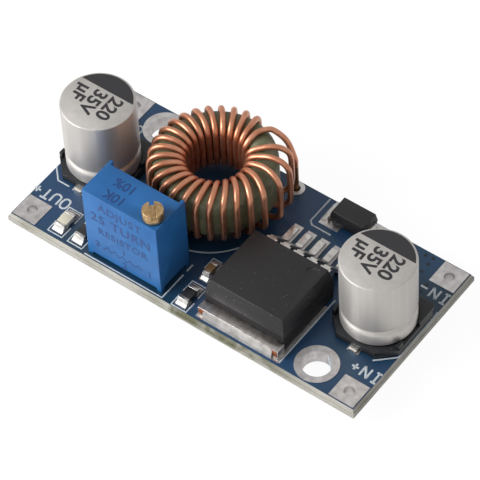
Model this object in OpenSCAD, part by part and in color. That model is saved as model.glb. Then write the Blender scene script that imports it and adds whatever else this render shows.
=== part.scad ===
// Adjustable step-down converter module, millimetres.
// Board underside at z = 0, origin midway between the two fixing holes,
// +X towards the input end, +Y to the edge that carries the inductor, +Z up.

/* [Board] */
// Length of the board between its scored faces
board_l = 44.0; // [42:0.1:48]
// Width of the board between its scored faces
board_w = 20.8; // [20.6:0.1:24]
// Thickness of the laminate
board_t = 1.6; // [1:0.1:2]
// How far the snapped web stands out of each scored edge
web_out = 0.25; // [0.1:0.05:0.5]
// Height of the snapped web
web_t = 0.6; // [0.3:0.05:0.8]

/* [Lands] */
// Thickness of copper and tin on the board
land_t = 0.06; // [0.03:0.01:0.1]
// How far a land stands past each side of the metal soldered to it
land_margin = 0.15; // [0.05:0.05:0.2]
// Width of each capacitor land
cap_land_w = 1.4; // [1.2:0.1:1.6]
// Length of each capacitor land
cap_land_l = 3.5; // [3:0.1:3.8]
// Length of the land under the regulator's tab
tab_land_l = 8.6; // [7:0.1:8.8]
// Length of the land under each lead of the regulator
lead_land_l = 2.5; // [1.8:0.1:2.6]
// Length of each diode land
diode_land_l = 2.4; // [2:0.1:2.6]
// Width of each diode land
diode_land_w = 3.4; // [2.6:0.1:3.4]
// Length of each chip land
chip_land_l = 1.2; // [0.8:0.1:1.2]

/* [Fixing holes] */
// Diameter of each fixing hole inside its plating
fixing_d = 3.2; // [2.5:0.1:3.6]
// Diameter of the bare ring round each fixing hole
fixing_land_d = 4.7; // [4.2:0.1:5]
// Distance of each fixing hole from the middle, along the board
fixing_x = 15.8; // [15.6:0.1:16.2]
// Distance of each fixing hole from the middle, across the board
fixing_y = 7.95; // [7.8:0.05:8]
// Wall of the copper plating in the holes
plating = 0.05; // [0.03:0.01:0.08]

/* [Terminals] */
// Side of each square terminal land
terminal_side = 3.0; // [2.4:0.1:3]
// Hole in each terminal land, inside its plating
terminal_hole_d = 1.15; // [0.8:0.05:1.5]
// Gap between a terminal land and the end of the board
terminal_inset_x = 0.1; // [0.1:0.05:0.5]
// Gap between a terminal land and the side of the board
terminal_inset_y = 0.1; // [0.1:0.05:0.4]

/* [Smoothing capacitors] */
// Diameter of the aluminium can
can_d = 8.0; // [7:0.1:8.2]
// Height of the whole capacitor above its lands
cap_h = 10.2; // [8:0.1:12]
// Side of the moulded base
cap_base_side = 8.3; // [8.3:0.1:8.6]
// Thickness of the moulded base
cap_base_t = 1.5; // [1.2:0.1:1.8]
// Corner cut off at the positive end of the base
cap_base_cut = 1.9; // [1:0.1:2.4]
// Height of the rolled groove above the bottom of the can
can_groove_z = 2.0; // [1.6:0.1:3]
// Depth of the rolled groove
can_groove = 0.4; // [0.2:0.05:0.6]
// Middle of the output capacitor along the board
output_cap_x = -18.0; // [-18.2:0.1:-17.8]
// Middle of the output capacitor across the board
output_cap_y = 0.4; // [0:0.1:1]
// Middle of the input capacitor along the board
input_cap_x = 17.8; // [17.6:0.1:18]
// Middle of the input capacitor across the board
input_cap_y = 0.0; // [-0.5:0.1:0.5]
// Width of each flat lead under the capacitor
cap_lead_w = 0.9; // [0.6:0.1:1.2]
// Thickness of each flat lead under the capacitor
cap_lead_t = 0.3; // [0.2:0.05:0.4]
// Length of each flat lead
cap_lead_l = 3.6; // [3:0.1:3.8]
// Reach of the two leads, tip to tip
cap_lead_reach = 9.4; // [9.2:0.1:9.8]

/* [Inductor] */
// Outer diameter of the painted ring core
core_d = 13.2; // [12:0.1:13.4]
// Inner diameter of the painted ring core
core_hole_d = 7.2; // [7:0.1:7.6]
// Height of the core
core_h = 5.7; // [4:0.1:6.2]
// Radius on the edges of the core
core_edge = 1.1; // [0.6:0.1:1.3]
// Middle of the core along the board
core_x = -5.25; // [-5.35:0.05:-5.15]
// Middle of the core across the board
core_y = 3.5; // [3.4:0.05:3.6]
// Diameter of the enamelled copper wire
wire_d = 0.65; // [0.5:0.05:0.7]
// Clearance between the wire and the core
wire_gap = 0.06; // [0.05:0.01:0.1]
// Clearance between the lowest turns and what lies under them
coil_lift = 0.05; // [0.02:0.01:0.1]
// Number of turns on the core
turns = 27; // [20:1:27]
// Angle of the first turn at the inner side of the core
first_turn = 61; // [58:1:64]
// Angle between neighbouring turns at the inner side
turn_step = 13.2; // [13:0.1:13.3]
// Lead of the first turn's outer side over its inner side, in degrees
lean_first = 14; // [8:1:16]
// Lean that each further turn loses, in degrees
lean_loss = 1.3; // [1:0.05:1.4]
// Turn from which the winding was pulled back into line
slack_from = 23; // [22:1:24]
// Lean that each turn past that one gets back, in degrees
slack_lean = 4.2; // [3.8:0.1:4.4]
// How far the loosest turns stand off the core
slack_out = 1.0; // [0.4:0.1:1.1]
// Place of the start lead's hole along the board
start_lead_x = 0.55; // [0.5:0.05:0.7]
// Place of the start lead's hole across the board
start_lead_y = 9.4; // [9.3:0.05:9.5]
// Distance of the end lead's hole from the middle of the core
end_lead_r = 8.8; // [8.6:0.1:9]

/* [Regulator] */
// Width of the moulded body
reg_w = 10.0; // [9:0.1:10]
// Depth of the moulded body from its tab side to its lead side
reg_depth = 8.7; // [8:0.1:9]
// Height of the body above its land
reg_h = 4.45; // [4:0.05:4.6]
// Height of the body's parting line above its land
reg_part_z = 2.3; // [1.8:0.1:2.4]
// Draft of the body's sides between parting line and top
reg_draft = 0.42; // [0.2:0.02:0.5]
// Middle of the body along the board
reg_x = 7.26; // [7.1:0.02:7.4]
// Lead side of the body across the board
reg_back_y = 0.05; // [-0.1:0.05:0.2]
// Thickness of the metal tab
tab_t = 1.27; // [1:0.01:1.4]
// How far the tab stands out of the body
tab_out = 1.15; // [0.8:0.05:1.3]
// Width of the tab in front of the body
tab_w = 10.1; // [9.6:0.1:10.2]
// Length of the tab under the body
tab_inner_l = 7.0; // [5:0.1:7.3]
// Width of the tab under the body
tab_inner_w = 8.2; // [6:0.1:8.6]
// Number of leads
reg_leads = 5; // [3:1:5]
// Pitch of the leads
reg_pitch = 1.7; // [1.6:0.02:1.8]
// Width of each lead beyond its shoulder
reg_lead_w = 0.8; // [0.5:0.05:0.9]
// Width of each lead's shoulder
reg_shoulder_w = 1.25; // [1:0.05:1.3]
// Thickness of each lead
reg_lead_t = 0.45; // [0.3:0.05:0.5]
// Height of the top of the leads above the land, where they leave the body
reg_lead_z = 2.75; // [2.5:0.05:3]
// Length of the straight shoulder of each lead
reg_shoulder = 1.5; // [1.2:0.1:1.8]
// Reach of the feet past the body
reg_reach = 4.85; // [4.6:0.05:5]
// Length of each flat foot
reg_foot = 1.5; // [1.2:0.1:1.7]
// Diameter of the round mark beside the first lead
reg_mark_d = 1.1; // [0.8:0.1:1.4]
// Depth of that mark
reg_mark_depth = 0.1; // [0.05:0.01:0.2]

/* [Diode] */
// Length of the moulded body
diode_l = 4.3; // [4:0.1:4.4]
// Width of the moulded body
diode_w = 2.6; // [2.4:0.1:2.8]
// Height of the body above its lands
diode_h = 2.2; // [2:0.1:2.3]
// Draft of the body's sides
diode_draft = 0.16; // [0.1:0.02:0.2]
// Width of the folded leads
diode_lead_w = 1.5; // [1.3:0.05:1.6]
// Thickness of the folded leads
diode_lead_t = 0.2; // [0.15:0.05:0.3]
// How far each lead stands out of the body
diode_lead_out = 0.35; // [0.3:0.05:0.45]
// Middle of the diode along the board
diode_x = 8.5; // [8.4:0.1:8.6]
// Middle of the diode across the board
diode_y = 8.7; // [8.6:0.05:8.75]

/* [Trimmer] */
// Width of the housing
trim_w = 9.53; // [9.4:0.01:9.6]
// Depth of the housing
trim_depth = 4.83; // [4.7:0.01:5]
// Height of the housing with its feet
trim_h = 10.03; // [9.6:0.01:10.2]
// Left side of the housing along the board
trim_x = -12.05; // [-12.1:0.05:-12]
// Front face of the housing across the board
trim_y = -9.8; // [-9.85:0.05:-9.7]
// Wall of the housing
trim_wall = 0.4; // [0.35:0.01:0.42]
// Thickness of the housing's top
trim_top = 1.5; // [1.3:0.1:1.8]
// Height of the four small feet
trim_foot_h = 0.4; // [0.3:0.05:0.6]
// Side of the four small feet
trim_foot = 0.6; // [0.4:0.05:0.8]
// How far the top stops short of the back between the side walls
trim_back_recess = 0.5; // [0.3:0.05:0.6]
// Distance of the screw's axis from the two nearest faces
screw_inset = 1.27; // [1.2:0.01:1.3]
// Diameter of the slotted head
screw_head_d = 2.25; // [2:0.05:2.3]
// Height of the slotted head
screw_head_h = 1.35; // [1.2:0.05:1.8]
// Width of the slot
screw_slot_w = 0.5; // [0.3:0.05:0.6]
// Depth of the slot
screw_slot_depth = 0.65; // [0.4:0.05:0.8]
// Direction of the slot, in degrees from +X
screw_slot_turn = -45; // [-90:1:90]
// Diameter of the screw's shaft
screw_shaft_d = 1.2; // [1:0.05:1.3]
// Radial clearance of the screw in the housing
screw_gap = 0.05; // [0.03:0.01:0.08]
// Gap between the head and the housing's top
head_gap = 0.1; // [0.05:0.01:0.2]
// Thickness of the rubber ring under the head
seal_t = 0.32; // [0.25:0.01:0.35]
// Clearance all round the rubber ring
seal_gap = 0.02; // [0.01:0.01:0.03]
// Thickness of the resin that closes the underside
potting_t = 0.8; // [0.6:0.05:1]
// Depth of the resin under the foot of the shaft
shaft_floor = 0.3; // [0.2:0.05:0.4]
// Thickness of the ceramic element
element_t = 0.6; // [0.5:0.05:0.7]
// Diameter of the round pins
pin_d = 0.5; // [0.4:0.02:0.6]
// Pitch of the round pins
pin_pitch = 2.54; // [2.5:0.01:2.6]

/* [Small parts] */
// Length of the larger chips
chip_l = 2.0; // [1.8:0.05:2.1]
// Width of the larger chips
chip_w = 1.25; // [1.1:0.05:1.3]
// Height of the larger chips
chip_h = 0.6; // [0.4:0.05:0.8]
// Length of the ceramic capacitor
small_chip_l = 1.6; // [1.5:0.05:1.7]
// Width of the ceramic capacitor
small_chip_w = 0.85; // [0.75:0.05:0.9]
// Height of the ceramic capacitor
small_chip_h = 0.8; // [0.6:0.05:0.9]
// Length of each metal end of a chip
chip_end = 0.35; // [0.25:0.05:0.4]
// Reach of the solder past each end of a chip
chip_solder = 0.5; // [0.3:0.05:0.6]
// Place of the indicator lamp along the board
lamp_x = -16.45; // [-16.5:0.05:-16.4]
// Place of the lamp's series resistor along the board
lamp_resistor_x = -13.83; // [-13.9:0.01:-13.8]
// Place of those two across the board
lamp_y = -8.1; // [-8.2:0.05:-8]
// Place of the feedback resistor along the board
feedback_x = 0.05; // [0:0.05:0.1]
// Place of the feedback resistor across the board
feedback_y = -8.5; // [-8.6:0.05:-8.4]
// Place of the ceramic capacitor along the board
ceramic_x = 0.0; // [-0.05:0.05:0.05]
// Place of the ceramic capacitor across the board
ceramic_y = -4.7; // [-4.8:0.05:-4.6]

/* [Solder joints under the board] */
// Height of each solder cone under the board
joint_h = 1.0; // [0.6:0.05:1.2]
// Diameter of each solder cone at the board
joint_d = 1.9; // [1.6:0.05:2]
// Rim of each solder cone at its tip
joint_rim = 0.15; // [0.1:0.01:0.2]
// Length of lead left past the tip of each solder cone
lead_stub = 0.2; // [0.1:0.05:0.3]
// Clearance of a lead in its hole
lead_gap = 0.15; // [0.1:0.01:0.2]

/* [Hidden] */
$fn = 48;
eps = 0.01;
solder_gap = 0.01;
seat_z = board_t + land_t;

// Places that several parts share
terminal_x = board_l / 2 - terminal_inset_x - terminal_side / 2;
terminal_y = board_w / 2 - terminal_inset_y - terminal_side / 2;
wire_hole_d = wire_d + 2 * lead_gap;
pin_hole_d = pin_d + 2 * lead_gap;
reg_front_y = reg_back_y - reg_depth;
reg_foot_y = reg_back_y + reg_reach;
trim_mid_x = trim_x + trim_w / 2;
pin_y = trim_y + trim_depth / 2;
screw_x = trim_x + trim_w - screw_inset;
screw_y = trim_y + screw_inset;
trim_top_z = seat_z + trim_h;
bore_d = screw_shaft_d + 2 * screw_gap;
seal_mid_r = screw_shaft_d / 2 + seal_gap + seal_t / 2;
seal_recess_d = 2 * (seal_mid_r + seal_t / 2 + seal_gap);
element_back_y = trim_y + trim_depth - trim_back_recess - trim_wall;
element_front_y = element_back_y - element_t;
floor_z = seat_z + trim_foot_h;

end_hole_angle = first_turn + turn_step * (turns - 1) + 180;
end_hole = [core_x + end_lead_r * cos(end_hole_angle), core_y + end_lead_r * sin(end_hole_angle)];
wire_holes = [[start_lead_x, start_lead_y], end_hole];
pin_holes = [for (i = [-1, 0, 1]) [trim_mid_x + i * pin_pitch, pin_y]];
fixing_holes = [[fixing_x, -fixing_y], [-fixing_x, fixing_y]];
big_chips = [[lamp_x, lamp_y], [lamp_resistor_x, lamp_y], [feedback_x, feedback_y]];

// ---- Shared forms ----

// A plate of size [x, y, z] standing on z = 0, centred in x and y
module plate(size) {
    translate([-size[0] / 2, -size[1] / 2, 0]) cube(size);
}

// A plated hole: a land on each face joined by the copper lining of the hole
module eyelet(hole_d, land_side, round_land) {
    difference() {
        union() {
            translate([0, 0, board_t]) land(land_side, round_land);
            translate([0, 0, -land_t]) land(land_side, round_land);
            cylinder(d = hole_d + 2 * plating, h = board_t);
        }
        translate([0, 0, -land_t - eps]) cylinder(d = hole_d, h = board_t + 2 * land_t + 2 * eps);
    }
}

module land(side, round_land) {
    if (round_land) cylinder(d = side, h = land_t);
    else plate([side, side, land_t]);
}

// A moulded body that narrows by draft from its widest level to its top and bottom
module moulding(w, d, h, part_z, draft_top, draft_low) {
    intersection() {
        rotate([90, 0, 0]) linear_extrude(d + 1, center = true) drafted(w, h, part_z, draft_top, draft_low);
        rotate([90, 0, 90]) linear_extrude(w + 1, center = true) drafted(d, h, part_z, draft_top, draft_low);
    }
}

module drafted(w, h, part_z, draft_top, draft_low) {
    polygon([
        [-w / 2 + draft_low, 0], [w / 2 - draft_low, 0],
        [w / 2, part_z], [w / 2 - draft_top, h],
        [-w / 2 + draft_top, h], [-w / 2, part_z]
    ]);
}

// A strip bent along a path of points in its own plane, of constant thickness t
module bent_strip(path, t, w) {
    rotate([90, 0, 90]) linear_extrude(w, center = true)
        for (i = [0 : len(path) - 2]) strip_step(path[i], path[i + 1], t);
}

module strip_step(a, b, t) {
    v = b - a;
    translate(a) rotate(atan2(v[1], v[0])) {
        translate([0, -t / 2]) square([norm(v), t]);
        circle(d = t, $fn = 16);
    }
    translate(b) circle(d = t, $fn = 16);
}

// A solder cone hanging under the board, hollow where the lead passes
module solder_cone(lead_d) {
    bore_r = lead_d / 2 + solder_gap;
    arc = [for (i = [0 : 4]) let (a = 90 * i / 4)
        [joint_d / 2 - (joint_d / 2 - bore_r - joint_rim) * sin(a), -land_t - joint_h * (1 - cos(a))]];
    rotate_extrude() polygon(concat([[bore_r, -land_t]], arc, [[bore_r, -land_t - joint_h]]));
}

// ---- Board ----

module board_edge_profile(l) {
    score = (board_t - web_t) / 2;
    bevel = web_out * 0.7;
    polygon([
        [-l / 2, 0], [l / 2, 0], [l / 2 + bevel, score], [l / 2 + web_out, score],
        [l / 2 + web_out, score + web_t], [l / 2 + bevel, score + web_t], [l / 2, board_t],
        [-l / 2, board_t], [-l / 2 - bevel, score + web_t], [-l / 2 - web_out, score + web_t],
        [-l / 2 - web_out, score], [-l / 2 - bevel, score]
    ]);
}

module board() {
    color("midnightblue") difference() {
        intersection() {
            rotate([90, 0, 0]) linear_extrude(board_w + 4, center = true) board_edge_profile(board_l);
            rotate([90, 0, 90]) linear_extrude(board_l + 4, center = true) board_edge_profile(board_w);
        }
        for (p = fixing_holes) through_hole(p, fixing_d + 2 * plating);
        for (sx = [-1, 1], sy = [-1, 1])
            through_hole([sx * terminal_x, sy * terminal_y], terminal_hole_d + 2 * plating);
        for (p = wire_holes) through_hole(p, wire_hole_d);
        for (p = pin_holes) through_hole(p, pin_hole_d);
    }
}

module through_hole(p, d) {
    translate([p[0], p[1], -1]) cylinder(d = d, h = board_t + 2);
}

module fixing_hole_rings() {
    color("silver") for (p = fixing_holes)
        translate([p[0], p[1], 0]) eyelet(fixing_d, fixing_land_d, true);
}

module terminal(sx, sy) {
    color("gainsboro") translate([sx * terminal_x, sy * terminal_y, 0])
        eyelet(terminal_hole_d, terminal_side, false);
}

// Lands that carry the surface-mounted parts, and rings round the lead holes
module solder_lands() {
    color("lightgray") {
        for (c = [[input_cap_x, input_cap_y], [output_cap_x, output_cap_y]], s = [-1, 1])
            translate([c[0], c[1] + s * (cap_lead_reach - cap_land_l) / 2, board_t])
                plate([cap_land_w, cap_land_l, land_t]);
        translate([reg_x, reg_front_y - tab_out - 2 * land_margin + tab_land_l / 2, board_t])
            plate([tab_w + 2 * land_margin, tab_land_l, land_t]);
        for (i = [0 : reg_leads - 1])
            translate([lead_x(i), reg_foot_y + 4 * land_margin - lead_land_l / 2, board_t])
                plate([reg_lead_w + 2 * land_margin, lead_land_l, land_t]);
        for (s = [-1, 1])
            translate([diode_x + s * diode_l / 2, diode_y, board_t]) plate([diode_land_l, diode_land_w, land_t]);
        for (c = big_chips, s = [-1, 1])
            translate([c[0], c[1] + s * chip_l / 2, board_t])
                plate([chip_w + land_margin, chip_land_l, land_t]);
        for (s = [-1, 1])
            translate([ceramic_x, ceramic_y + s * small_chip_l / 2, board_t])
                plate([small_chip_w + 2 * land_margin, chip_land_l, land_t]);
        for (p = wire_holes, z = [-land_t, board_t]) lead_ring(p, z, wire_hole_d);
        for (p = pin_holes, z = [-land_t, board_t]) lead_ring(p, z, pin_hole_d);
    }
}

module lead_ring(p, z, hole_d) {
    translate([p[0], p[1], z]) difference() {
        cylinder(d = joint_d, h = land_t);
        translate([0, 0, -1]) cylinder(d = hole_d, h = 2);
    }
}

// ---- Inductor ----

coil_bottom_z = seat_z + wire_d + 2 * coil_lift;
tail_z = seat_z + coil_lift + wire_d / 2;
wire_r = wire_d / 2;
path_off = wire_r + wire_gap;
core_z = coil_bottom_z + wire_d + wire_gap;
path_in_r = core_hole_d / 2 - path_off;
path_out_r = core_d / 2 + path_off;
path_low_z = core_z - path_off;
path_top_z = core_z + core_h + path_off;
path_edge = core_edge + path_off;

module inductor_core() {
    color("darkolivegreen") translate([core_x, core_y, core_z]) rotate_extrude()
        rounded_section(core_hole_d / 2, core_d / 2, core_h, core_edge);
}

module rounded_section(r0, r1, h, edge) {
    corner = function (cx, cy, a0) [for (i = [0 : 4]) let (a = a0 + 90 * i / 4)
        [cx + edge * cos(a), cy + edge * sin(a)]];
    polygon(concat(
        corner(r1 - edge, h - edge, 0), corner(r0 + edge, h - edge, 90),
        corner(r0 + edge, edge, 180), corner(r1 - edge, edge, 270)));
}

// Angle of turn k on the inner side, and on the outer side, where the turns lean
function inner_angle(k) = first_turn + turn_step * k;
function lean(k) = lean_first - lean_loss * k + slack_lean * max(0, k - slack_from);
function outer_angle(k) = inner_angle(k) + lean(k);
// The last turns lie loose and stand off the core
function stand_off(k) = slack_out * exp(-pow((k - turns + 2) / 2.5, 2));

function on_core(angle, r, z) = [core_x + r * cos(angle), core_y + r * sin(angle), z];
function mix(a, b, f) = a + (b - a) * f;

// Corner of the turn's path in (radius, height): centre (r, z), from angle a0 through 90 degrees
function corner(r, z, a0, steps = 3) = [for (i = [0 : steps]) let (a = a0 + 90 * i / steps)
    [r + path_edge * cos(a), z + path_edge * sin(a)]];
// Points of a section, laid round the core so that the angle goes from phi_in to phi_out with the radius
function lay(section, phi_in, phi_out, r_out) = [for (q = section)
    on_core(mix(phi_in, phi_out, (q[0] - path_in_r) / (r_out - path_in_r)), q[0], q[1])];

// One turn: up the outer side, in over the top, down the hole and out underneath
function turn_path(k) = let (
        off = stand_off(k), off_next = stand_off(k + 1), rise = off * 0.35,
        ro = path_out_r - path_edge, ri = path_in_r + path_edge,
        zt = path_top_z - path_edge, zb = path_low_z + path_edge,
        over = concat(k == 0 ? [] : corner(ro + off, zt + rise, 0),
            [[(ro + ri + off) / 2, path_top_z + rise]], corner(ri, zt, 90)),
        under = k == turns - 1 ? [] : concat(corner(ri, zb, 180), corner(ro + off_next, zb, 270)))
    concat(lay(over, inner_angle(k), outer_angle(k), path_out_r + off),
        lay(under, inner_angle(k), outer_angle(k + 1), path_out_r + off_next));

// Smooth curve through hand-placed points
function smooth(p, steps = 4) = [for (i = [1 : len(p) - 3], j = [0 : steps - 1]) let (f = j / steps)
    0.5 * (2 * p[i] + (p[i + 1] - p[i - 1]) * f
        + (2 * p[i - 1] - 5 * p[i] + 4 * p[i + 1] - p[i + 2]) * f * f
        + (3 * p[i] - p[i - 1] - 3 * p[i + 1] + p[i + 2]) * f * f * f)];

cut_z = -land_t - joint_h - lead_stub;
// The start lead rises from its hole and bends over the edge of the core
start_lead = concat([[start_lead_x, start_lead_y, cut_z]], smooth([
    [start_lead_x, start_lead_y, cut_z + 1], [start_lead_x, start_lead_y, board_t + 3.6],
    [start_lead_x - 0.15, start_lead_y + 0.05, board_t + 4.9],
    [mix(start_lead_x, core_x, 0.26), start_lead_y + 0.4, board_t + 6.6],
    on_core(first_turn + 7, path_out_r - 0.9, path_top_z + 0.2),
    on_core(first_turn + 4, path_out_r - 2.2, path_top_z)]));
// The end lead comes down the hole, runs out flat under the far side of the core and dips into the board
tail_bend = 0.8;
tail_angle = inner_angle(turns - 1);
function on_tail(r, z) = on_core(tail_angle, r, z);
end_lead = concat(
    [for (i = [0 : 3]) let (a = 30 * i)
        on_tail(path_in_r - tail_bend * (1 - cos(a)), tail_z + tail_bend * (1 - sin(a)))],
    [for (i = [0 : 3]) let (a = 30 * i)
        on_tail(-end_lead_r + tail_bend * (1 - sin(a)), tail_z - tail_bend * (1 - cos(a)))],
    [[end_hole[0], end_hole[1], cut_z]]);

winding_path = concat(start_lead, [for (k = [0 : turns - 1]) each turn_path(k)], end_lead);

function unit(v) = v / norm(v);
// Direction of the piece of path that starts at point i, held at both ends of the path
function heading(p, i) = let (k = min(max(i, 0), len(p) - 2)) unit(p[k + 1] - p[k]);
function tangent(p, i) = unit(heading(p, i) + heading(p, i - 1));
function square_to(n, t) = unit(n - (n * t) * t);

// A round wire along a path of points, with its side frame carried from ring to ring
module swept_wire(p, r, sides) {
    t = [for (i = [0 : len(p) - 1]) tangent(p, i)];
    n = [for (i = 0, v = square_to([0, 1, 0], t[0]); i < len(p); i = i + 1,
        v = i < len(p) ? square_to(v, t[i]) : v) v];
    rings = [for (i = [0 : len(p) - 1], s = [0 : sides - 1]) let (a = 360 * s / sides)
        p[i] + r * (cos(a) * n[i] + sin(a) * cross(t[i], n[i]))];
    sides_faces = [for (i = [0 : len(p) - 2], s = [0 : sides - 1]) let (q = (s + 1) % sides)
        each [[i * sides + s, (i + 1) * sides + s, i * sides + q],
            [i * sides + q, (i + 1) * sides + s, (i + 1) * sides + q]]];
    ends = [[for (s = [0 : sides - 1]) s], [for (s = [sides - 1 : -1 : 0]) (len(p) - 1) * sides + s]];
    polyhedron(rings, concat(sides_faces, ends));
}

module inductor_winding() {
    color("peru") swept_wire(winding_path, wire_r, 8);
}

module inductor_solder() {
    color("silver") for (p = wire_holes) translate([p[0], p[1], 0]) solder_cone(wire_d);
}

// ---- Smoothing capacitors ----

cap_base_z = seat_z + 0.05;
can_seat = 0.25;
can_z = cap_base_z + cap_base_t - can_seat;
can_h = seat_z + cap_h - can_z;

// Can with a curled foot, a rolled groove and a rounded top edge
module capacitor_can(x, y) {
    r = can_d / 2;
    g = can_groove_z;
    top = [for (i = [0 : 4]) let (a = 90 * i / 4) [r - 0.6 + 0.6 * cos(a), can_h - 0.6 + 0.6 * sin(a)]];
    groove = [for (i = [-4 : 4]) [r - can_groove * pow(cos(22.5 * i), 2), g + 0.55 * i / 4]];
    foot = [for (i = [0 : 3]) let (a = -90 + 90 * i / 3) [r - 0.5 + 0.45 * cos(a), 0.5 + 0.5 * sin(a)]];
    color("silver") translate([x, y, can_z]) rotate_extrude($fn = 96)
        polygon(concat([[0, 0]], foot, groove, top, [[0, can_h]]));
}

// Square base with the corners cut off at the positive end, a round seat for the can above
// and a groove for each lead underneath
module capacitor_base(x, y) {
    h = cap_base_side / 2;
    c = cap_base_cut;
    color("dimgray") difference() {
        translate([x, y, cap_base_z]) linear_extrude(cap_base_t) polygon([
            [-h, h], [h, h], [h, -h + c], [h - c, -h], [-h + c, -h], [-h, -h + c]]);
        translate([x, y, can_z]) cylinder(d = can_d + 0.1, h = 2);
        capacitor_lead_strips(x, y);
    }
}

module capacitor_leads(x, y) {
    color("gainsboro") capacitor_lead_strips(x, y);
}

module capacitor_lead_strips(x, y) {
    for (s = [-1, 1])
        translate([x, y + s * (cap_lead_reach - cap_lead_l) / 2, seat_z])
            plate([cap_lead_w, cap_lead_l, cap_lead_t]);
}

// ---- Regulator ----

function lead_x(i) = reg_x + (i - (reg_leads - 1) / 2) * reg_pitch;

module regulator_body() {
    color("#26282b") difference() {
        translate([reg_x, reg_back_y - reg_depth / 2, seat_z])
            moulding(reg_w, reg_depth, reg_h, reg_part_z, reg_draft, 0.1);
        tab_solid();
        for (i = [0 : reg_leads - 1]) lead_root(i);
        translate([lead_x(reg_leads - 1) - 0.1, reg_back_y - 1.5, seat_z + reg_h - reg_mark_depth])
            cylinder(d = reg_mark_d, h = 1);
    }
}

// Metal tab: wide in front of the body, narrower where it is moulded in
module tab_solid() {
    translate([reg_x, reg_front_y, seat_z]) {
        translate([-tab_w / 2, -tab_out, 0]) cube([tab_w, tab_out, tab_t]);
        translate([-tab_inner_w / 2, -tab_out / 2, 0]) cube([tab_inner_w, tab_inner_l + tab_out / 2, tab_t]);
    }
}

module regulator_tab() {
    color("silver") tab_solid();
}

// Root and wide shoulder of a lead, from inside the body to the bend
module lead_root(i) {
    root = 1.2;
    translate([lead_x(i), reg_back_y, seat_z + reg_lead_z - reg_lead_t]) {
        translate([-reg_lead_w / 2, -root, 0]) cube([reg_lead_w, root + reg_shoulder - 0.1, reg_lead_t]);
        translate([-reg_shoulder_w / 2, 0.3, 0]) cube([reg_shoulder_w, reg_shoulder - 0.4, reg_lead_t]);
    }
}

module regulator_leads() {
    mid = reg_lead_z - reg_lead_t / 2;
    foot_start = reg_reach - reg_foot;
    path = [for (q = [
        [reg_shoulder - 0.4, mid], [reg_shoulder, mid - 0.05], [reg_shoulder + 0.25, mid - 0.3],
        [foot_start - 0.3, reg_lead_t / 2 + 0.3], [foot_start, reg_lead_t / 2 + 0.04],
        [foot_start + 0.3, reg_lead_t / 2], [reg_reach - reg_lead_t / 2, reg_lead_t / 2]])
        [reg_back_y + q[0], seat_z + q[1]]];
    color("gainsboro") for (i = [0 : reg_leads - 1]) {
        translate([lead_x(i), 0, 0]) bent_strip(path, reg_lead_t, reg_lead_w);
        lead_root(i);
    }
}

// Wedge of solder along the front of the tab
module regulator_solder() {
    front = reg_front_y - tab_out;
    color("silver") translate([reg_x, front, seat_z]) rotate([90, 0, 90])
        linear_extrude(tab_w - 1.4, center = true)
        polygon([[0, 0], [-0.28, 0], [-0.2, tab_t * 0.3], [-0.06, tab_t * 0.75], [0, tab_t * 0.85]]);
}

// ---- Diode ----

diode_body_z = seat_z + diode_lead_t;
diode_mid_z = seat_z + 1.15;

module diode_body() {
    color("#2b2b2e") difference() {
        translate([diode_x, diode_y, diode_body_z])
            moulding(diode_l, diode_w, diode_h - diode_lead_t, diode_mid_z - diode_body_z,
                diode_draft, diode_draft);
        diode_leads_solid();
    }
}

// Flat leads that leave the ends at mid height and fold down and under
module diode_leads_solid() {
    x = diode_l / 2 + diode_lead_out - diode_lead_t / 2;
    z = diode_lead_t / 2;
    for (s = [-1, 1])
        translate([diode_x, diode_y, seat_z]) rotate(s > 0 ? -90 : 90)
            bent_strip([[x - 0.9, 1.15], [x - 0.1, 1.15], [x, 1.05], [x, z + 0.1], [x - 0.1, z], [x - 1.3, z]],
                diode_lead_t, diode_lead_w);
}

module diode_leads() {
    color("gainsboro") diode_leads_solid();
}

module diode_solder() {
    x = diode_l / 2 + diode_lead_out;
    color("silver") for (s = [-1, 1])
        translate([diode_x, diode_y, seat_z]) rotate(s > 0 ? -90 : 90)
            rotate([90, 0, 90]) linear_extrude(diode_lead_w + 0.9, center = true)
            polygon([[x, 0], [x + 0.95, 0], [x + 0.8, 0.12], [x + 0.3, 0.3], [x, 0.75]]);
}

// ---- Trimmer ----

module trimmer_housing() {
    color("royalblue") difference() {
        union() {
            translate([trim_x, trim_y, floor_z]) difference() {
                cube([trim_w, trim_depth, trim_h - trim_foot_h]);
                translate([trim_wall, trim_wall, -1])
                    cube([trim_w - 2 * trim_wall, trim_depth, trim_h - trim_foot_h - trim_top + 1]);
                translate([trim_wall, trim_depth - trim_back_recess, -1])
                    cube([trim_w - 2 * trim_wall, 1, 20]);
            }
            for (x = [trim_x, trim_x + trim_w - trim_foot])
                for (y = [trim_y, trim_y + trim_depth - trim_foot])
                    translate([x, y, seat_z]) foot(x > trim_mid_x, y > pin_y);
        }
        translate([screw_x, screw_y, trim_top_z - trim_top - 1]) cylinder(d = bore_d, h = trim_top + 2);
        translate([screw_x, screw_y, trim_top_z - seal_t - 2 * seal_gap]) cylinder(d = seal_recess_d, h = 2);
    }
}

// Angle-shaped foot that continues the corner's walls
module foot(right, back) {
    difference() {
        cube([trim_foot, trim_foot, trim_foot_h + eps]);
        translate([right ? -1 : trim_wall, back ? -1 : trim_wall, -1])
            cube([trim_foot - trim_wall + 1, trim_foot - trim_wall + 1, trim_foot_h + 2]);
    }
}

// Ceramic plate that carries the resistance track
module trimmer_element() {
    color("ivory") translate([trim_x + trim_wall, element_front_y, floor_z + potting_t])
        cube([trim_w - 2 * trim_wall, element_t, trim_top_z - trim_top - floor_z - potting_t]);
}

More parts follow.
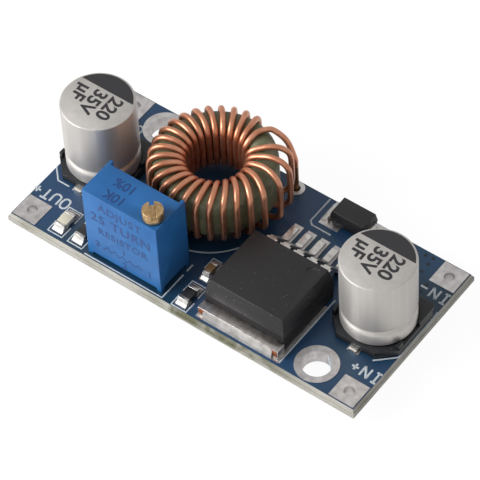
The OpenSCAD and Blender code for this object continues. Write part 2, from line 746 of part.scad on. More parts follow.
// Cast resin that closes the underside and the back
module trimmer_potting() {
    w = trim_w - 2 * trim_wall;
    back_y = trim_y + trim_depth - trim_back_recess;
    color("mediumblue") difference() {
        translate([trim_x + trim_wall, trim_y + trim_wall, floor_z]) {
            cube([w, back_y - trim_y - trim_wall, potting_t]);
            translate([0, element_back_y - trim_y - trim_wall, 0])
                cube([w, back_y - element_back_y, trim_top_z - trim_top - floor_z]);
        }
        for (p = pin_holes) translate([p[0], p[1], seat_z]) cylinder(d = pin_d, h = 4);
        translate([screw_x, screw_y, floor_z + shaft_floor]) cylinder(d = bore_d, h = potting_t);
    }
}

module trimmer_pins() {
    color("silver") for (p = pin_holes)
        translate([p[0], p[1], cut_z]) cylinder(d = pin_d, h = floor_z + potting_t - cut_z);
}

module trimmer_solder() {
    color("silver") for (p = pin_holes) translate([p[0], p[1], 0]) solder_cone(pin_d);
}

// Brass adjusting screw: slotted head above the housing, shaft down to the floor
module trimmer_screw() {
    head_z = trim_top_z + head_gap;
    foot_z = floor_z + shaft_floor + screw_gap;
    color("darkgoldenrod") translate([screw_x, screw_y, 0]) difference() {
        union() {
            translate([0, 0, head_z]) cylinder(d = screw_head_d, h = screw_head_h - head_gap);
            translate([0, 0, foot_z]) cylinder(d = screw_shaft_d, h = head_z - foot_z);
        }
        translate([0, 0, trim_top_z + screw_head_h - screw_slot_depth]) rotate(screw_slot_turn)
            plate([screw_head_d + 1, screw_slot_w, 2]);
    }
}

module trimmer_seal() {
    color("black") translate([screw_x, screw_y, trim_top_z - seal_t / 2 - seal_gap])
        rotate_extrude() translate([seal_mid_r, 0]) circle(d = seal_t, $fn = 24);
}

// ---- Small parts ----

module chip_body(p, l, w, h) {
    translate([p[0], p[1], seat_z]) plate([w, l - 2 * chip_end, h]);
}

module chip_metal(p, l, w, h) {
    for (s = [-1, 1])
        translate([p[0], p[1] + s * (l - chip_end) / 2, seat_z]) plate([w, chip_end, h]);
}

module fillets(p, l, w, h) {
    for (s = [0, 180])
        translate([p[0], p[1], seat_z]) rotate(s) rotate([90, 0, 90]) linear_extrude(w, center = true)
            polygon([[l / 2, 0], [l / 2 + chip_solder, 0], [l / 2 + 0.2, h * 0.3], [l / 2, h * 0.85]]);
}

module indicator_lamp() {
    color("ivory") chip_body([lamp_x, lamp_y], chip_l, chip_w, chip_h);
}

module lamp_resistor() {
    color("#202124") chip_body([lamp_resistor_x, lamp_y], chip_l, chip_w, chip_h);
}

module feedback_resistor() {
    color("#202124") chip_body([feedback_x, feedback_y], chip_l, chip_w, chip_h);
}

module ceramic_capacitor() {
    color("tan") chip_body([ceramic_x, ceramic_y], small_chip_l, small_chip_w, small_chip_h);
}

module chip_ends() {
    color("silver") {
        for (p = big_chips) chip_metal(p, chip_l, chip_w, chip_h);
        chip_metal([ceramic_x, ceramic_y], small_chip_l, small_chip_w, small_chip_h);
    }
}

module chip_solder_fillets() {
    color("silver") {
        for (p = big_chips) fillets(p, chip_l, chip_w, chip_h);
        fillets([ceramic_x, ceramic_y], small_chip_l, small_chip_w, small_chip_h);
    }
}

board();
fixing_hole_rings();
solder_lands();
terminal(1, -1);  // terminal_in_plus
terminal(1, 1);  // terminal_in_minus
terminal(-1, -1);  // terminal_out_plus
terminal(-1, 1);  // terminal_out_minus
inductor_core();
inductor_winding();
inductor_solder();
capacitor_can(input_cap_x, input_cap_y);  // input_capacitor_can
capacitor_base(input_cap_x, input_cap_y);  // input_capacitor_base
capacitor_leads(input_cap_x, input_cap_y);  // input_capacitor_leads
capacitor_can(output_cap_x, output_cap_y);  // output_capacitor_can
capacitor_base(output_cap_x, output_cap_y);  // output_capacitor_base
capacitor_leads(output_cap_x, output_cap_y);  // output_capacitor_leads
regulator_body();
regulator_tab();
regulator_leads();
regulator_solder();
diode_body();
diode_leads();
diode_solder();
trimmer_housing();
trimmer_potting();
trimmer_element();
trimmer_pins();
trimmer_solder();
trimmer_screw();
trimmer_seal();
indicator_lamp();
lamp_resistor();
feedback_resistor();
ceramic_capacitor();
chip_ends();
chip_solder_fillets();
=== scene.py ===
# The looks of an adjustable step-down converter module: a small circuit board and the parts soldered to it.
import math

import bmesh
import bpy
from mathutils import Matrix, Vector


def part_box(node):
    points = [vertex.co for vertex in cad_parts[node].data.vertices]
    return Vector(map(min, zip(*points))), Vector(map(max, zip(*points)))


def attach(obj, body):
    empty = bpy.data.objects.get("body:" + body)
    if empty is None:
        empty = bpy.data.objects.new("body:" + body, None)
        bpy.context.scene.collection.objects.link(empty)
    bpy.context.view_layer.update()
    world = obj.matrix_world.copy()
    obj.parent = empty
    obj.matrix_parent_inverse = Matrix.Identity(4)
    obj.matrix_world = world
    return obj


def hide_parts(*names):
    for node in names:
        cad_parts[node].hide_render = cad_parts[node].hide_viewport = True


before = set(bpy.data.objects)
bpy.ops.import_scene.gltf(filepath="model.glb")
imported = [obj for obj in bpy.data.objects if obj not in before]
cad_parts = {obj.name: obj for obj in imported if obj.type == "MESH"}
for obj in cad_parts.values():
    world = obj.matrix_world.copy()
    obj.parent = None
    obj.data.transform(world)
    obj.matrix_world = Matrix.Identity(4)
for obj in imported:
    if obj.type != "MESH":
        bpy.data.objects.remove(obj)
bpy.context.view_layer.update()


# ---- Laminate ----
# The board is glass cloth pressed in epoxy resin, 1.6 mm thick, scored and snapped out of a larger panel.
# Both faces carry a glossy blue solder mask; the snapped edges show the straw-grey glass and resin.

MM = 0.001


def linear(hex_colour):
    """An sRGB colour such as "#1a2b3c" as the linear red, green, blue and alpha that shaders take."""
    parts = [int(hex_colour[i:i + 2], 16) / 255 for i in (1, 3, 5)]
    return [p / 12.92 if p <= 0.04045 else ((p + 0.055) / 1.055) ** 2.4 for p in parts] + [1.0]


def add(tree, kind, inputs=None, **settings):
    """Adds a node; an input is a value, or another node's output that it is linked to."""
    node = tree.nodes.new(kind)
    for key, value in settings.items():
        setattr(node, key, value)
    for key, value in (inputs or {}).items():
        if isinstance(value, bpy.types.NodeSocket):
            tree.links.new(value, node.inputs[key])
        else:
            node.inputs[key].default_value = value
    return node


def start_material(name, colour, roughness, metallic=0.0):
    """A new material with its shader set, and its node tree and place coordinates ready for patterns."""
    material = bpy.data.materials.new(name)
    material.use_nodes = True
    tree = material.node_tree
    shader = tree.nodes["Principled BSDF"]
    shader.inputs["Base Color"].default_value = linear(colour)
    shader.inputs["Roughness"].default_value = roughness
    shader.inputs["Metallic"].default_value = metallic
    place = add(tree, "ShaderNodeTexCoord").outputs["Object"]
    return material, tree, shader, place


def clouded(tree, place, grain_mm, low, high, start=0.3, end=0.7, detail=3.0):
    """Two colours that drift into each other in patches about that many millimetres across."""
    patches = add(tree, "ShaderNodeTexNoise",
                  {"Vector": place, "Scale": 1 / (grain_mm * MM), "Detail": detail})
    ramp = add(tree, "ShaderNodeValToRGB", {"Fac": patches.outputs["Fac"]})
    for stop, position, colour in zip(ramp.color_ramp.elements, (start, end), (low, high)):
        stop.position, stop.color = position, linear(colour)
    return ramp.outputs["Color"]


def paint_node(name, material):
    """A CAD node keeps its mesh and takes the material."""
    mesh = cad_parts[name].data
    mesh.materials.clear()
    mesh.materials.append(material)


BOARD_TOP = 1.6 * MM
MASK_FILM = 0.03 * MM
MASK_ROUGH, EDGE_ROUGH = 0.34, 0.85
# Torn glass threads on the snapped edge: their size and depth, and how high they reach up the board
THREAD, TORN_DEPTH, TORN_SHARE = 0.3 * MM, 0.1 * MM, 0.45
# The painted shadow of the regulator on the front edge, in millimetres: where it begins and where it is
# full, from both sides and from below
FRONT_Y = -10
TAB_SHADOW_LEFT, TAB_SHADOW_RIGHT, TAB_SHADOW_LOW = (-1.2, -0.6), (17, 10), (0.5, 0.8)
TAB_SHADOW_PATCH = 2.5 * MM


def laminate_material():
    # Solder mask over copper and glass: a dark, glassy blue film, with straw-grey cut glass below its edge
    material, tree, shader, place = start_material("solder_mask_on_glass_epoxy", "#1a3a52", MASK_ROUGH)
    parts = add(tree, "ShaderNodeSeparateXYZ", {"Vector": place}).outputs
    height = parts["Z"]
    below_top = add(tree, "ShaderNodeMath", {0: height, 1: BOARD_TOP - MASK_FILM}, operation="LESS_THAN")
    above_foot = add(tree, "ShaderNodeMath", {0: height, 1: MASK_FILM}, operation="GREATER_THAN")
    edge = add(tree, "ShaderNodeMath", {0: below_top.outputs[0], 1: above_foot.outputs[0]},
               operation="MULTIPLY").outputs[0]
    mask = clouded(tree, place, 9.0, "#14364b", "#1f4266", 0.38, 0.62)
    layers = add(tree, "ShaderNodeMapping", {"Vector": place, "Scale": (0.3, 0.3, 2.0)})
    straw = clouded(tree, layers.outputs["Vector"], 0.5, "#9c988f", "#b5b2aa", 0.35, 0.62, detail=5.0)
    olive = clouded(tree, place, 7.0, "#8a8a78", "#b7b4ac", 0.36, 0.47, detail=2.0)
    glass = add(tree, "ShaderNodeMixRGB", {"Fac": 0.5, "Color1": straw, "Color2": olive}).outputs["Color"]
    # Painted shadow of the regulator: the upper part of the front edge is darkened olive, in patches
    patches = add(tree, "ShaderNodeTexNoise", {"Vector": place, "Scale": 1 / TAB_SHADOW_PATCH, "Detail": 3.0})
    tab_shadow = add(tree, "ShaderNodeMapRange",
                {"Value": patches.outputs["Fac"], "From Min": 0.3, "From Max": 0.5}).outputs["Result"]
    at_front = add(tree, "ShaderNodeMath", {0: parts["Y"], 1: FRONT_Y * MM}, operation="LESS_THAN")
    tab_shadow = add(tree, "ShaderNodeMath", {0: tab_shadow, 1: at_front.outputs[0]}, operation="MULTIPLY").outputs[0]
    for axis, (clear, full) in (("X", TAB_SHADOW_LEFT), ("X", TAB_SHADOW_RIGHT), ("Z", TAB_SHADOW_LOW)):
        fade = add(tree, "ShaderNodeMapRange",
                   {"Value": parts[axis], "From Min": clear * MM, "From Max": full * MM}).outputs["Result"]
        tab_shadow = add(tree, "ShaderNodeMath", {0: tab_shadow, 1: fade}, operation="MULTIPLY").outputs[0]
    # The olive of the painted shadow, mixed into the cut glass
    glass = add(tree, "ShaderNodeMixRGB",
                {"Fac": tab_shadow, "Color1": glass, "Color2": linear("#65654f")}).outputs["Color"]
    colour = add(tree, "ShaderNodeMixRGB", {"Fac": edge, "Color1": mask, "Color2": glass})
    tree.links.new(colour.outputs["Color"], shader.inputs["Base Color"])
    rough = add(tree, "ShaderNodeMapRange", {"Value": edge, "To Min": MASK_ROUGH, "To Max": EDGE_ROUGH})
    tree.links.new(rough.outputs["Result"], shader.inputs["Roughness"])
    # The lower part of the edge tore when the panel was snapped; the scored part above it is smoother
    snapped = add(tree, "ShaderNodeMath", {0: height, 1: BOARD_TOP * TORN_SHARE}, operation="LESS_THAN")
    depth = add(tree, "ShaderNodeMapRange", {"Value": snapped.outputs[0], "To Min": 0.2, "To Max": 1.0})
    threads = add(tree, "ShaderNodeTexNoise", {"Vector": place, "Scale": 1 / THREAD, "Detail": 5.0})
    weave = add(tree, "ShaderNodeMath", {0: threads.outputs["Fac"], 1: depth.outputs["Result"]},
                operation="MULTIPLY").outputs[0]
    torn = add(tree, "ShaderNodeMath", {0: weave, 1: edge}, operation="MULTIPLY").outputs[0]
    bump = add(tree, "ShaderNodeBump", {"Height": torn, "Distance": TORN_DEPTH})
    tree.links.new(bump.outputs["Normal"], shader.inputs["Normal"])
    return material


paint_node("board", laminate_material())


# ---- Lands, terminals and hole rings ----
# Copper lands and plated holes, dipped in molten tin and blown level with hot air.
# The coat is thin, grey and a little uneven, so it shines softly and in patches.

def grained(tree, shader, place, grain_mm, depth_mm, detail=3.0):
    """Bumps on the shader's surface, about that many millimetres across and deep."""
    grains = add(tree, "ShaderNodeTexNoise",
                 {"Vector": place, "Scale": 1 / (grain_mm * MM), "Detail": detail})
    bump = add(tree, "ShaderNodeBump", {"Height": grains.outputs["Fac"], "Distance": depth_mm * MM})
    tree.links.new(bump.outputs["Normal"], shader.inputs["Normal"])


def levelled_tin(name, low, high, roughness, mottle_mm=0.6, pit_mm=0.004):
    # Hot-air levelled tin: a metal with a soft, mottled sheen and fine pits
    material, tree, shader, place = start_material(name, high, roughness, 1.0)
    mottle = clouded(tree, place, mottle_mm, low, high, 0.3, 0.62, detail=5.0)
    tree.links.new(mottle, shader.inputs["Base Color"])
    grained(tree, shader, place, 0.2, pit_mm, detail=4.0)
    return material


land_tin = levelled_tin("hot_air_levelled_tin", "#b6b2b1", "#d5d2d1", 0.42, 0.9)
for node in ("solder_lands", "fixing_hole_rings", "terminal_in_plus", "terminal_in_minus",
             "terminal_out_plus", "terminal_out_minus"):
    paint_node(node, land_tin)


# ---- Printed legend ----
# White epoxy ink screen-printed on the mask before assembly: outlines of the parts and the terminal signs.
# The lines are about 0.2 mm wide and a few hundredths thick, with soft round edges.

LINE_W, SIGN_LINE_W = 0.19, 0.24
INK_T = 0.03


def make_mesh_active(piece):
    """Selects that piece alone."""
    bpy.ops.object.select_all(action="DESELECT")
    piece.select_set(True)
    bpy.context.view_layer.objects.active = piece


def fix_place(piece):
    """Puts the place, turn and scale into the mesh, so that the object sits at the origin."""
    make_mesh_active(piece)
    bpy.ops.object.transform_apply(location=True, rotation=True, scale=True)


def finish_piece(piece, material, body="root", smooth_deg=35, stands_for=()):
    """Material, shading and the body that carries the piece."""
    fix_place(piece)
    piece.data.materials.clear()
    piece.data.materials.append(material)
    bpy.ops.object.shade_smooth_by_angle(angle=math.radians(smooth_deg))
    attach(piece, body)
    if stands_for:
        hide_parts(*stands_for)


def curve_mesh(name, curve):
    """A mesh made from a curve's data."""
    piece = bpy.data.objects.new(name, curve)
    bpy.context.scene.collection.objects.link(piece)
    make_mesh_active(piece)
    bpy.ops.object.convert(target="MESH")
    return bpy.context.view_layer.objects.active


def add_path(curve, path):
    """A straight-sided spline through (x, y) points in millimetres."""
    spline = curve.splines.new("POLY")
    spline.points.add(len(path) - 1)
    for point, (x, y) in zip(spline.points, path):
        point.co = (x * MM, y * MM, 0, 1)
    return spline


def printed_lines(name, paths, width=LINE_W, tilt_deg=0, place_mm=(0, 0, BOARD_TOP / MM)):
    """Flat rounded lines along paths of (x, y) points in millimetres, laid on a face of the module."""
    curve = bpy.data.curves.new(name, "CURVE")
    curve.dimensions = "3D"
    curve.bevel_depth = width / 2 * MM
    curve.bevel_resolution = 1
    curve.use_fill_caps = True
    for path in paths:
        add_path(curve, path)
    piece = curve_mesh(name, curve)
    piece.scale = (1, 1, 2 * INK_T / width)
    piece.rotation_euler = (math.radians(tilt_deg), 0, 0)
    piece.location = Vector(place_mm) * MM
    return piece


def arc(x, y, r, start_deg, end_deg, steps=24):
    """Points along an arc round (x, y)."""
    angles = [math.radians(start_deg + (end_deg - start_deg) * i / steps) for i in range(steps + 1)]
    return [(x + r * math.cos(a), y + r * math.sin(a)) for a in angles]


# Strokes of each sign in a box 0.9 wide and 1.3 high, as a board's drawing software plots them
SIGN_W, SIGN_H = 0.9, 1.3
sign_strokes = {
    "I": [[(0.15, 0), (0.75, 0)], [(0.45, 0), (0.45, 1.3)], [(0.15, 1.3), (0.75, 1.3)]],
    "N": [[(0.05, 0), (0.05, 1.3)], [(0.05, 1.3), (0.85, 0)], [(0.85, 0), (0.85, 1.3)]],
    "T": [[(0, 1.3), (0.9, 1.3)], [(0.45, 1.3), (0.45, 0)]],
    "U": [[(0, 1.3), (0, 0.4), (0.12, 0.12), (0.45, 0), (0.78, 0.12), (0.9, 0.4), (0.9, 1.3)]],
    "O": [[(0.3, 0), (0.6, 0), (0.82, 0.2), (0.9, 0.65), (0.82, 1.1), (0.6, 1.3), (0.3, 1.3), (0.08, 1.1),
           (0, 0.65), (0.08, 0.2), (0.3, 0)]],
    "+": [[(0.05, 0.65), (0.85, 0.65)], [(0.45, 0.25), (0.45, 1.05)]],
    "-": [[(0.05, 0.65), (0.85, 0.65)]],
}


def upside_down(sign, x, y):
    """A sign's strokes round (x, y), turned to be read from the back of the board."""
    return [[(x + SIGN_W / 2 - u, y + SIGN_H / 2 - v) for u, v in stroke] for stroke in sign_strokes[sign]]


def ink_material():
    # Screen-printed epoxy ink: bright, matt and slightly thin where the mesh of the screen touched
    material, tree, shader, place = start_material("white_legend_ink", "#b9c3ca", 0.6)
    tree.links.new(clouded(tree, place, 0.15, "#9fadb8", "#c9d0d5", 0.25, 0.5), shader.inputs["Base Color"])
    return material


ink = ink_material()
legend_paths = {
    "output_capacitor_outline": [[(-22.0, -2.75), (-20.7, -4.1), (-19.2, -4.1)]],
    "input_capacitor_outline": [[(20.1, -4.35), (22.0, -2.55), (22.0, 4.4)], [(16.1, -6.4), (17.6, -7.85)]],
    "regulator_outline": [[(12.57, -10.0), (12.57, -0.3)]],
    "diode_outline": [[(4.35, 10.25), (4.35, 6.75), (4.8, 6.35), (7.2, 6.35)]],
    "inductor_outline": [arc(-5.9, 3.25, 7.3, 272, 330)],
    "lamp_outline": [[(-17.4, -8.45), (-17.4, -9.95), (-15.53, -9.95), (-15.53, -8.45)],
                     [(-17.4, -7.75), (-17.4, -6.28), (-15.6, -6.28), (-15.6, -7.75)]],
    "lamp_resistor_outline": [[(-14.77, -8.45), (-14.77, -9.95), (-12.88, -9.95), (-12.88, -8.8)]],
    "feedback_resistor_outline": [[(-0.88, -8.9), (-0.88, -10.3), (1.02, -10.3), (1.02, -8.9)],
                                  [(-0.88, -8.25), (-0.88, -6.65), (0.95, -6.65), (0.95, -8.2)]],
    "ceramic_capacitor_outline": [[(-0.9, -4.65), (-0.9, -3.1), (0.25, -3.1)]],
    "trimmer_outline": [[(-12.3, -10.2), (-2.15, -10.2), (-2.15, -6.6)], [(-2.15, -6.0), (-2.15, -5.0)]],
}
for name, paths in legend_paths.items():
    finish_piece(printed_lines("printed_" + name, paths), ink)
terminal_signs = {
    "in_minus": (("I", 21.63, 6.2), ("N", 20.37, 6.2), ("-", 19.03, 6.3)),
    "in_plus": (("I", 21.69, -5.95), ("N", 20.41, -5.95), ("+", 19.15, -5.95)),
    "out_plus": (("+", -21.74, -6.2), ("T", -20.54, -6.2), ("U", -19.3, -6.2), ("O", -18.07, -6.2)),
    "out_minus": (("-", -21.74, 6.2), ("T", -20.54, 6.2), ("U", -19.3, 6.2), ("O", -18.07, 6.2)),
}
for name, signs in terminal_signs.items():
    strokes = [stroke for sign, x, y in signs for stroke in upside_down(sign, x, y)]
    finish_piece(printed_lines("printed_" + name, strokes, SIGN_LINE_W), ink)


# ---- Covered through-holes ----
# Small plated holes that join the two faces of the board.
# The mask closes each one over and sags into it, which leaves a dimple with a raised rim; the dimple's
# darkness is painted shade.

VIA_D, VIA_SIDES = 0.34, 24
RIM_R, FILM_T = 0.03, 0.02


def join_pieces(pieces, name):
    """One object of that name from all the pieces."""
    bpy.ops.object.select_all(action="DESELECT")
    for piece in pieces:
        piece.select_set(True)
    bpy.context.view_layer.objects.active = pieces[0]
    bpy.ops.object.join()
    pieces[0].name = name
    return pieces[0]


vias = [(16.75, 9.82), (17.66, 9.89), (17.65, 8.98), (17.62, 7.82), (19.07, 6.65), (19.05, 5.67),
        (-18.45, 6.86)]
via_parts = []
for x, y in vias:
    bpy.ops.object.select_all(action="DESELECT")
    middle = (x * MM, y * MM, BOARD_TOP)
    bpy.ops.mesh.primitive_torus_add(major_segments=VIA_SIDES, minor_segments=8, location=middle,
                                     major_radius=VIA_D / 2 * MM, minor_radius=RIM_R * MM)
    via_parts.append(bpy.context.object)
    bpy.ops.mesh.primitive_cylinder_add(vertices=VIA_SIDES, radius=VIA_D / 2 * MM, depth=FILM_T * MM,
                                        location=middle)
    via_parts.append(bpy.context.object)
# Solder mask sunk into the holes, coloured near black as painted shade: smooth, so that each looks like a
# wet dot
via_painted_shade = start_material("covered_hole_painted_shade", "#0a1620", 0.3)[0]
finish_piece(join_pieces(via_parts, "covered_vias"), via_painted_shade)


# ---- Inductor core ----
# A pressed iron-powder ring, tumbled smooth and coated with olive-green epoxy paint.
# It lies flat, just above the board, held by the two ends of its wire.

CAD_WELD = 0.0005 * MM


def round_edges(piece, edge_mm, angle_deg):
    """Rounds the active piece's edges where two faces turn by more than that angle."""
    bevel = piece.modifiers.new("edge", "BEVEL")
    bevel.width = edge_mm * MM
    bevel.segments = 2
    bevel.limit_method = "ANGLE"
    bevel.angle_limit = math.radians(angle_deg)
    bpy.ops.object.modifier_apply(modifier="edge")


def dress(node, name, edge_mm=0, joined_deg=0.5):
    """A copy of a CAD node with its triangles joined into whole faces and its edges rounded."""
    piece = bpy.data.objects.new(name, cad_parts[node].data.copy())
    bpy.context.scene.collection.objects.link(piece)
    make_mesh_active(piece)
    bpy.ops.object.mode_set(mode="EDIT")
    bpy.ops.mesh.select_all(action="SELECT")
    bpy.ops.mesh.remove_doubles(threshold=CAD_WELD)
    bpy.ops.mesh.dissolve_limited(angle_limit=math.radians(joined_deg))
    bpy.ops.object.mode_set(mode="OBJECT")
    if edge_mm:
        round_edges(piece, edge_mm, angle_deg=25)
    return piece


def core_paint():
    # Epoxy powder coat: satin, with fine orange-peel waves
    material, tree, shader, place = start_material("olive_epoxy_coat", "#6e7056", 0.42)
    tree.links.new(clouded(tree, place, 1.5, "#5f6147", "#7c7d61"), shader.inputs["Base Color"])
    grained(tree, shader, place, 0.3, 0.02, detail=2.0)
    return material


core = dress("inductor_core", "painted_ring_core")
finish_piece(core, core_paint(), smooth_deg=60, stands_for=["inductor_core"])


# ---- Winding ----
# One length of 0.65 mm enamelled copper wire, wound by hand through the ring in 27 turns.
# The start lead stands off the ring, and the last turns lie loose.

WIRE_D = 0.65
# The part of the start lead that the flux has browned: its place, and its foot and top
START_LEAD, BROWN_REACH, BROWN_HEIGHTS = (0.55, 9.4), 1.0, (-3, 5.2)


def copper_wire():
    # Copper under clear polyurethane enamel: a warm metal with a glassy coat, browned in one place by flux
    material, tree, shader, place = start_material("enamelled_copper", "#d39273", 0.38, 0.85)
    clean = clouded(tree, place, 1.2, "#c3805f", "#dc9d7e")
    parts = add(tree, "ShaderNodeSeparateXYZ", {"Vector": place}).outputs
    spans = [(middle - BROWN_REACH, middle + BROWN_REACH) for middle in START_LEAD] + [BROWN_HEIGHTS]
    inside = 1.0
    for axis, (low, high) in zip("XYZ", spans):
        middle, half = (low + high) / 2 * MM, (high - low) / 2 * MM
        near = add(tree, "ShaderNodeMath", {0: parts[axis], 1: middle, 2: half}, operation="COMPARE")
        inside = add(tree, "ShaderNodeMath", {0: inside, 1: near.outputs[0]},
                     operation="MULTIPLY").outputs[0]
    colour = add(tree, "ShaderNodeMixRGB", {"Fac": inside, "Color1": clean, "Color2": linear("#8a6238")})
    tree.links.new(colour.outputs["Color"], shader.inputs["Base Color"])
    shader.inputs["Coat Weight"].default_value = 0.25
    shader.inputs["Coat Roughness"].default_value = 0.25
    return material


ROUNDING_LOSS = 0.1


def drawn_round(piece, wire_mm):
    """Turns a wire's eight flat sides into a round section of the same thickness."""
    make_mesh_active(piece)
    bpy.ops.object.mode_set(mode="EDIT")
    bpy.ops.mesh.select_all(action="SELECT")
    bpy.ops.mesh.tris_convert_to_quads(face_threshold=math.radians(60), shape_threshold=math.radians(70))
    bpy.ops.transform.shrink_fatten(value=wire_mm / 2 * ROUNDING_LOSS * MM)
    bpy.ops.object.mode_set(mode="OBJECT")
    round_off = piece.modifiers.new("round", "SUBSURF")
    round_off.levels = round_off.render_levels = 2
    bpy.ops.object.modifier_apply(modifier="round")


winding = dress("inductor_winding", "wound_wire", joined_deg=0.02)
drawn_round(winding, WIRE_D)
finish_piece(winding, copper_wire(), smooth_deg=80, stands_for=["inductor_winding"])
# Solder that has flowed and set: a pale metal, brighter and smoother than the lands
solder = levelled_tin("bright_solder", "#aaa7a4", "#d3d0cc", 0.34, 1.2, 0.001)
paint_node("inductor_solder", solder)


# ---- Capacitors ----
# Deep-drawn aluminium cans, rolled over their rubber bungs, on black moulded bases with flat tinned leads.
# The value is printed on each can's top, beside a black segment that marks the minus lead.

def can_aluminium():
    # Drawn aluminium under a thin clear film: satin, with faint upright lines from the die
    material, tree, shader, place = start_material("drawn_aluminium", "#cfccca", 0.48, 0.72)
    upright = add(tree, "ShaderNodeMapping", {"Vector": place, "Scale": (1, 1, 0.03)}).outputs["Vector"]
    streaks = clouded(tree, upright, 0.9, "#c2beba", "#cdc9c5", detail=2.0)
    tree.links.new(streaks, shader.inputs["Base Color"])
    grained(tree, shader, upright, 0.9, 0.0008, detail=2.0)
    return material


CAN_R, CAN_SIDES = 4.0, 96
RING_REACH = 0.001
# Height above the board's underside, and radius, of each ring: curled foot, rolled groove, rounded rim
can_rings = [(2.56, 3.55), (2.62, 3.74), (2.76, 3.9), (3.0, 4.0), (4.2, 4.0), (4.34, 3.96), (4.5, 3.85),
             (4.62, 3.76), (4.75, 3.72), (4.88, 3.76), (5.0, 3.85), (5.16, 3.96), (5.3, 4.0), (11.62, 4.0),
             (11.75, 3.97), (11.83, 3.9), (11.86, 3.8)]


def pick_ring(piece, z):
    """Selects the vertices at that height in millimetres, with the piece in edit mode."""
    shape = bmesh.from_edit_mesh(piece.data)
    for vertex in shape.verts:
        vertex.select = abs(vertex.co.z / MM - z) < RING_REACH
    shape.select_flush(True)
    bmesh.update_edit_mesh(piece.data)


def drawn_can(name, x, y):
    """A round can whose wall is pressed in or rolled over ring by ring."""
    low, high = can_rings[0][0], can_rings[-1][0]
    bpy.ops.object.select_all(action="DESELECT")
    bpy.ops.mesh.primitive_cylinder_add(vertices=CAN_SIDES, radius=CAN_R * MM, depth=(high - low) * MM,
                                        location=(x * MM, y * MM, (low + high) / 2 * MM))
    piece = bpy.context.object
    piece.name = name
    fix_place(piece)
    bpy.ops.object.mode_set(mode="EDIT")
    for z, _ in can_rings[1:-1]:
        bpy.ops.mesh.select_all(action="SELECT")
        bpy.ops.mesh.bisect(plane_co=(0, 0, z * MM), plane_no=(0, 0, 1))
    for z, radius in can_rings:
        pick_ring(piece, z)
        share = radius / CAN_R
        bpy.ops.transform.resize(value=(share, share, 1), center_override=(x * MM, y * MM, z * MM))
    bpy.ops.object.mode_set(mode="OBJECT")
    return piece


BASE_LOW, BASE_T, BLOCK_T = 1.71, 0.85, 0.6
HALF, CHAMFER, BLOCK_START, BLOCK_ROUND = 4.15, 1.8, 1.3, 0.5
CAN_CLEARANCE = 0.06
OUTLINE_WELD = 0.001 * MM


def flat_plate(name, outline, thick_mm):
    """A plate with that outline of (x, y) points in millimetres, half of it on each side of height 0."""
    curve = bpy.data.curves.new(name, "CURVE")
    curve.dimensions = "2D"
    curve.fill_mode = "BOTH"
    curve.extrude = thick_mm / 2 * MM
    add_path(curve, outline).use_cyclic_u = True
    return curve_mesh(name, curve)


def close_solid():
    """Joins the active piece's caps and sides and turns its faces outwards."""
    bpy.ops.object.mode_set(mode="EDIT")
    bpy.ops.mesh.select_all(action="SELECT")
    bpy.ops.mesh.remove_doubles(threshold=OUTLINE_WELD)
    bpy.ops.mesh.dissolve_limited(angle_limit=math.radians(0.5))
    bpy.ops.mesh.normals_make_consistent(inside=False)
    bpy.ops.object.mode_set(mode="OBJECT")


def moulded_base(name, x, y):
    """An eight-cornered plate with a raised block on each square corner and a post by each cut one."""
    clear = CAN_R + CAN_CLEARANCE
    plate = [(-HALF, HALF - BLOCK_ROUND), (-HALF + BLOCK_ROUND, HALF), (HALF - BLOCK_ROUND, HALF),
             (HALF, HALF - BLOCK_ROUND), (HALF, CHAMFER - HALF), (HALF - CHAMFER, -HALF),
             (CHAMFER - HALF, -HALF), (-HALF, CHAMFER - HALF)]
    start_deg = math.degrees(math.asin(BLOCK_START / clear))
    inner = arc(0, 0, clear, start_deg, 90 - start_deg, 12)
    rounded = arc(HALF - BLOCK_ROUND, HALF - BLOCK_ROUND, BLOCK_ROUND, 90, 0, 6)
    block = inner + [(BLOCK_START, HALF)] + rounded + [(HALF, BLOCK_START)]
    post = [(3.72, -2.45), (HALF, -2.35), (HALF, -1.6), (3.85, -1.6)]
    outlines = [(plate, 0, BASE_T)]
    for mirror in (1, -1):
        outlines += [([(mirror * u, v) for u, v in block], BASE_T, BLOCK_T),
                     ([(mirror * u, v) for u, v in post], BASE_T, BLOCK_T)]
    parts = []
    for outline, low, thick in outlines:
        part = flat_plate(name, outline, thick)
        part.location = (x * MM, y * MM, (BASE_LOW + low + thick / 2) * MM)
        fix_place(part)
        parts.append(part)
    piece = join_pieces(parts, name)
    close_solid()
    round_edges(piece, edge_mm=0.05, angle_deg=30)
    return piece


CHORD_Y, PRINT_T, PRINT_R = 1.65, 0.012, 3.74


def printed_segment(name, x, y, top_mm):
    """The black part of a can's top, from a chord to the rim."""
    bpy.ops.object.select_all(action="DESELECT")
    bpy.ops.mesh.primitive_circle_add(vertices=CAN_SIDES, radius=PRINT_R * MM, fill_type="NGON",
                                      location=(x * MM, y * MM, (top_mm + PRINT_T) * MM))
    piece = bpy.context.object
    piece.name = name
    fix_place(piece)
    bpy.ops.object.mode_set(mode="EDIT")
    bpy.ops.mesh.select_all(action="SELECT")
    bpy.ops.mesh.bisect(plane_co=(x * MM, (y + CHORD_Y) * MM, top_mm * MM), plane_no=(0, 1, 0),
                        clear_inner=True, use_fill=False)
    bpy.ops.mesh.select_all(action="SELECT")
    bpy.ops.mesh.extrude_region_move(TRANSFORM_OT_translate={"value": (0, 0, -PRINT_T * MM)})
    bpy.ops.mesh.select_all(action="SELECT")
    bpy.ops.mesh.normals_make_consistent(inside=False)
    bpy.ops.object.mode_set(mode="OBJECT")
    return piece


